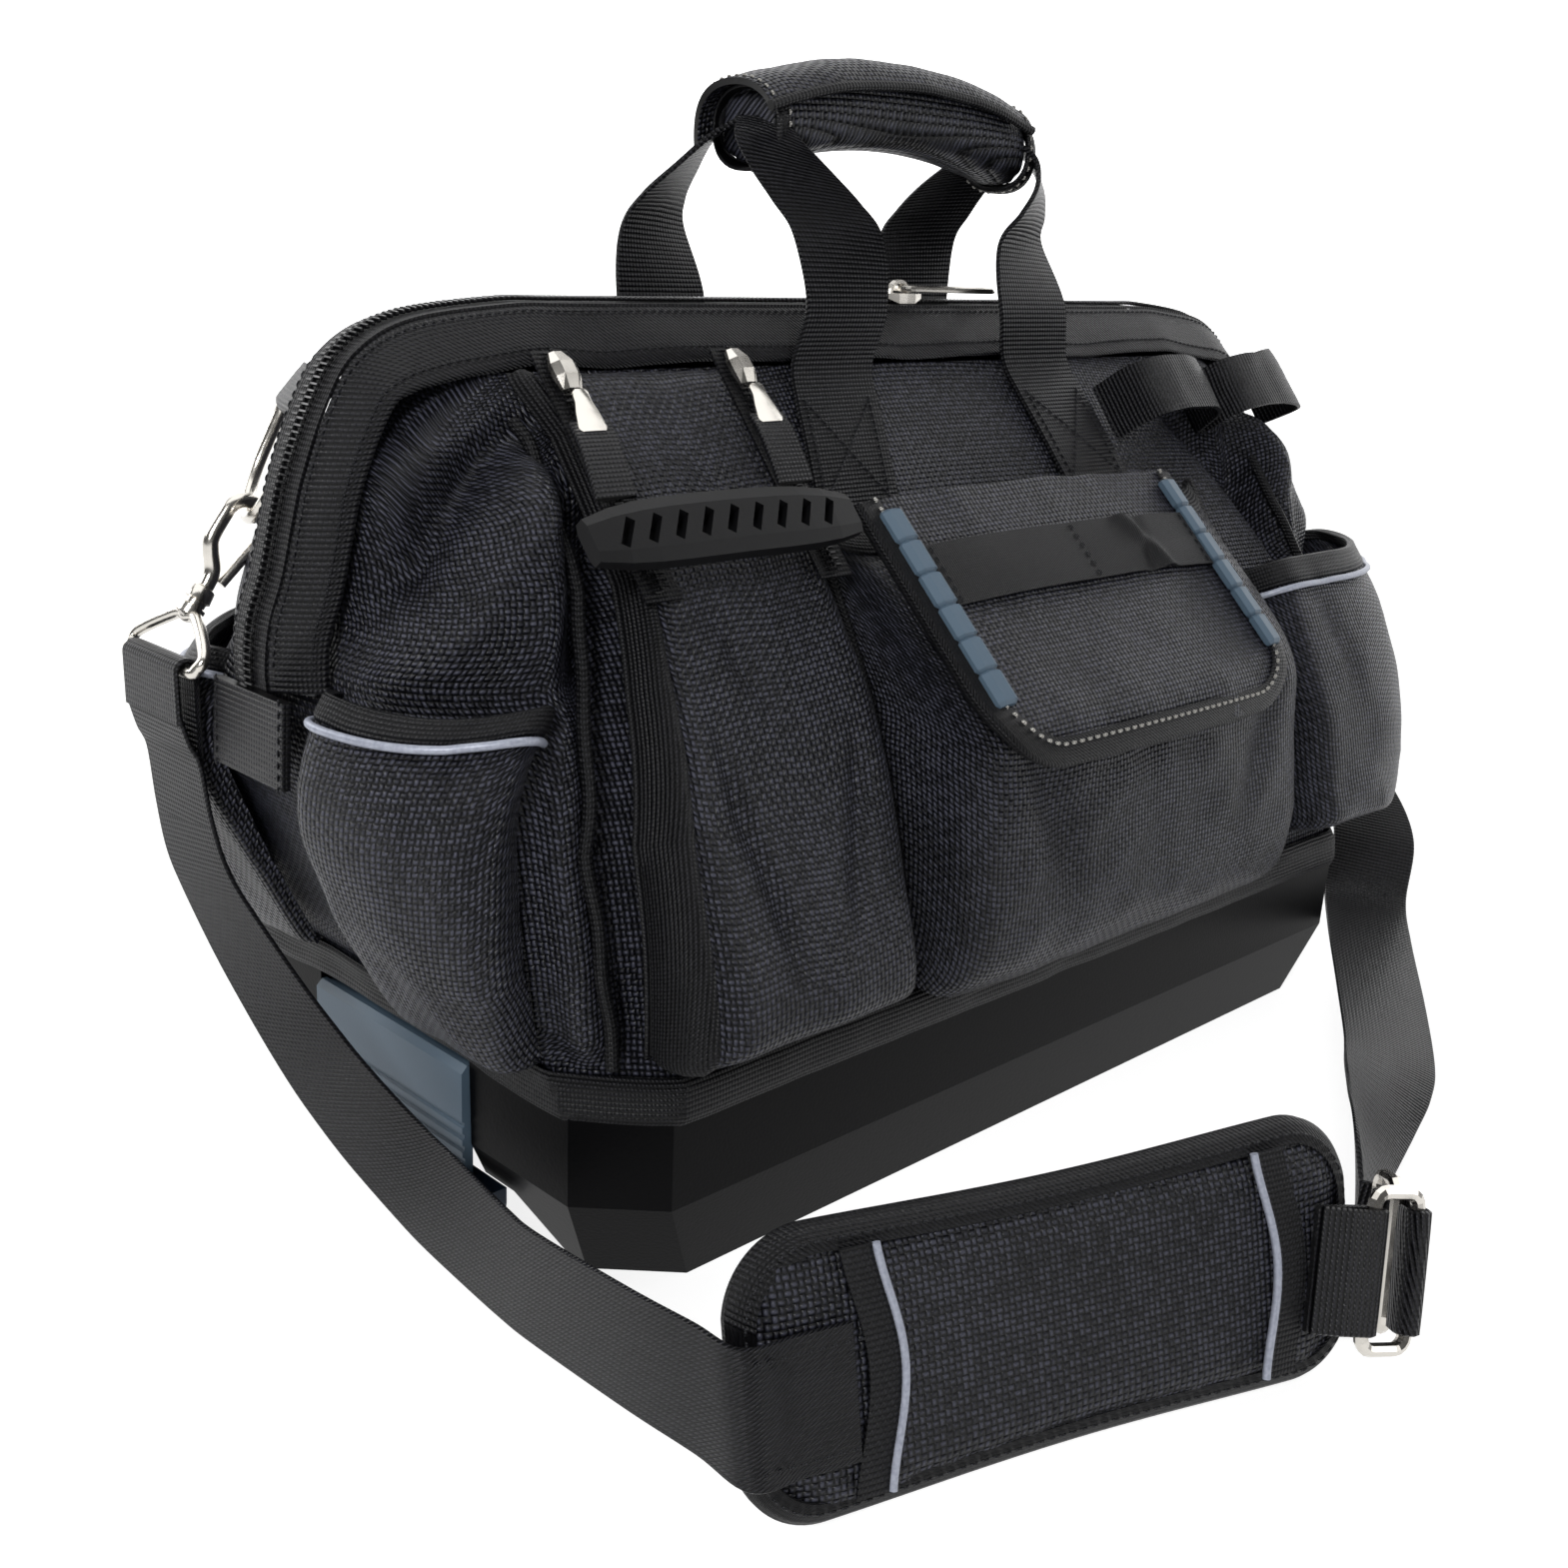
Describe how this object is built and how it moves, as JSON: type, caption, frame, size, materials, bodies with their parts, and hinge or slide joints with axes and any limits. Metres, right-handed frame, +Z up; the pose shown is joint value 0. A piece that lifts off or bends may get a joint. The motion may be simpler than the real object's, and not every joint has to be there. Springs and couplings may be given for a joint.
{
  "type": "soft tool bag",
  "caption": "Soft tool bag with a wide zip mouth on a rigid moulded base, with a wrapped carrying handle, outer pockets and loops, end catches and a padded shoulder strap.",
  "frame": {"origin": "the middle of the base's underside", "axes": "X runs along the bag, from its left end to its right end; the front with the flap pocket faces -Y; Z is up"},
  "size_m": [0.5557, 0.4077, 0.3709],
  "materials": {
    "moulding": "fine matt black moulding",
    "catch": "satin blue-grey moulding",
    "navy": "satin dark blue moulding",
    "cloth": "coarse woven black polyester, coated behind",
    "webbing": "ribbed black webbing",
    "elastic": "fine ribbed black elastic",
    "zip": "moulded black teeth on a woven tape",
    "rubber": "matt black rubber",
    "steel": "plain spring steel strip",
    "nickel": "polished nickel plate"
  },
  "bodies": {
    "bag": {"base_tub": "moulding", "panel_front": "cloth", "panel_rear": "cloth", "gusset_left": "cloth", "gusset_right": "cloth", "twin_pocket": "cloth", "middle_pocket": "cloth", "side_pocket": "cloth", "end_pocket_front": "cloth", "end_pocket_rear": "cloth", "shoulder_pad": "cloth", "base_binding": "webbing", "hem_front": "webbing", "hem_rear": "webbing", "zip_tab_left": "webbing", "zip_tab_right": "webbing", "tool_loops": "webbing", "handle_strap_front_left": "webbing", "handle_strap_front_right": "webbing", "handle_strap_rear_left": "webbing", "handle_strap_rear_right": "webbing", "ring_tab_left": "webbing", "ring_tab_right": "webbing", "strap_left": "webbing", "strap_right": "webbing", "pad_tab": "webbing", "main_zip": "zip", "pocket_zip_left": "zip", "pocket_zip_right": "zip", "frame_front": "steel", "frame_rear": "steel", "strap_ring": "nickel", "strap_slider": "nickel"},
    "flap": {"flap": "cloth", "flap_binding": "webbing", "flap_strip_left": "catch", "flap_strip_right": "catch", "elastic_band": "elastic"},
    "catch_left": {"catch_left": "catch", "catch_lip_left": "navy", "catch_clip_left": "moulding"},
    "catch_right": {"catch_right": "catch", "catch_lip_right": "navy", "catch_clip_right": "moulding"},
    "main_slider": {"main_slider": "nickel"},
    "main_slider_pull": {"main_slider_pull": "nickel"},
    "pocket_sliders": {"pocket_slider_left": "nickel", "pocket_slider_right": "nickel"},
    "pull_bar": {"pull_bar": "rubber", "pull_webbing_left": "webbing", "pull_webbing_right": "webbing"},
    "handle_grip": {"handle_grip": "cloth", "handle_grip_lip": "cloth"},
    "ring_left": {"ring_left": "nickel"},
    "ring_right": {"ring_right": "nickel"},
    "snap_hook_left": {"snap_hook_left": "nickel"},
    "snap_hook_right": {"snap_hook_right": "nickel"},
    "hook_gate_left": {"hook_gate_left": "nickel"},
    "hook_gate_right": {"hook_gate_right": "nickel"}
  },
  "joints": [
    {"name": "flap_hinge", "type": "hinge", "parent": "bag", "child": "flap", "pos_m": [0.0055, -0.0755, 0.2285], "axis": [-1, 0, 0], "range_deg": [0, 110]},
    {"name": "catch_left_hinge", "type": "hinge", "parent": "bag", "child": "catch_left", "pos_m": [-0.2045, 0, 0.0525], "axis": [0, 1, 0], "range_deg": [0, 35]},
    {"name": "catch_right_hinge", "type": "hinge", "parent": "bag", "child": "catch_right", "pos_m": [0.2045, 0, 0.0525], "axis": [0, -1, 0], "range_deg": [0, 35]},
    {"name": "main_zip_slide", "type": "slide", "parent": "bag", "child": "main_slider", "axis": [1, 0, 0], "range_m": [-0.155, 0.122]},
    {"name": "main_pull_hinge", "type": "hinge", "parent": "main_slider", "child": "main_slider_pull", "pos_m": [0.016, 0, 0.2916], "axis": [-0.2419, -0.9703, 0], "range_deg": [0, 160]},
    {"name": "pocket_zip_slide", "type": "slide", "parent": "bag", "child": "pocket_sliders", "axis": [0, -0.6471, -0.7624], "range_m": [0, 0.056]},
    {"name": "pull_bar_hinge", "type": "hinge", "parent": "pocket_sliders", "child": "pull_bar", "pos_m": [-0.1335, -0.04343, 0.26245], "axis": [-1, 0, 0], "range_deg": [0, 60]},
    {"name": "handle_sway", "type": "hinge", "parent": "bag", "child": "handle_grip", "pos_m": [0, 0, 0.286], "axis": [1, 0, 0], "range_deg": [-22, 22], "stiffness_Nm_per_rad": 0.9, "deforming": ["handle_strap_front_left", "handle_strap_front_right", "handle_strap_rear_left", "handle_strap_rear_right"]},
    {"name": "ring_left_hinge", "type": "hinge", "parent": "bag", "child": "ring_left", "pos_m": [-0.21268, 0.0419, 0.25202], "axis": [0.342, 0.9397, 0], "range_deg": [0, 15], "deforming": ["strap_left"]},
    {"name": "ring_right_hinge", "type": "hinge", "parent": "bag", "child": "ring_right", "pos_m": [0.21268, 0.0419, 0.25202], "axis": [0.342, -0.9397, 0], "range_deg": [0, 15], "deforming": ["strap_right"]},
    {"name": "hook_left_hinge", "type": "hinge", "parent": "ring_left", "child": "snap_hook_left", "pos_m": [-0.22777, 0.04739, 0.21758], "axis": [0, 1, 0], "range_deg": [0, 15], "deforming": ["strap_left"]},
    {"name": "hook_right_hinge", "type": "hinge", "parent": "ring_right", "child": "snap_hook_right", "pos_m": [0.22777, 0.04739, 0.21758], "axis": [0, -1, 0], "range_deg": [0, 15], "deforming": ["strap_right"]},
    {"name": "gate_left_hinge", "type": "hinge", "parent": "snap_hook_left", "child": "hook_gate_left", "pos_m": [-0.2374, 0.04739, 0.19716], "axis": [0, -1, 0], "range_deg": [0, 18], "stiffness_Nm_per_rad": 0.02},
    {"name": "gate_right_hinge", "type": "hinge", "parent": "snap_hook_right", "child": "hook_gate_right", "pos_m": [0.2374, 0.04739, 0.19716], "axis": [0, 1, 0], "range_deg": [0, 18], "stiffness_Nm_per_rad": 0.02}
  ]
}
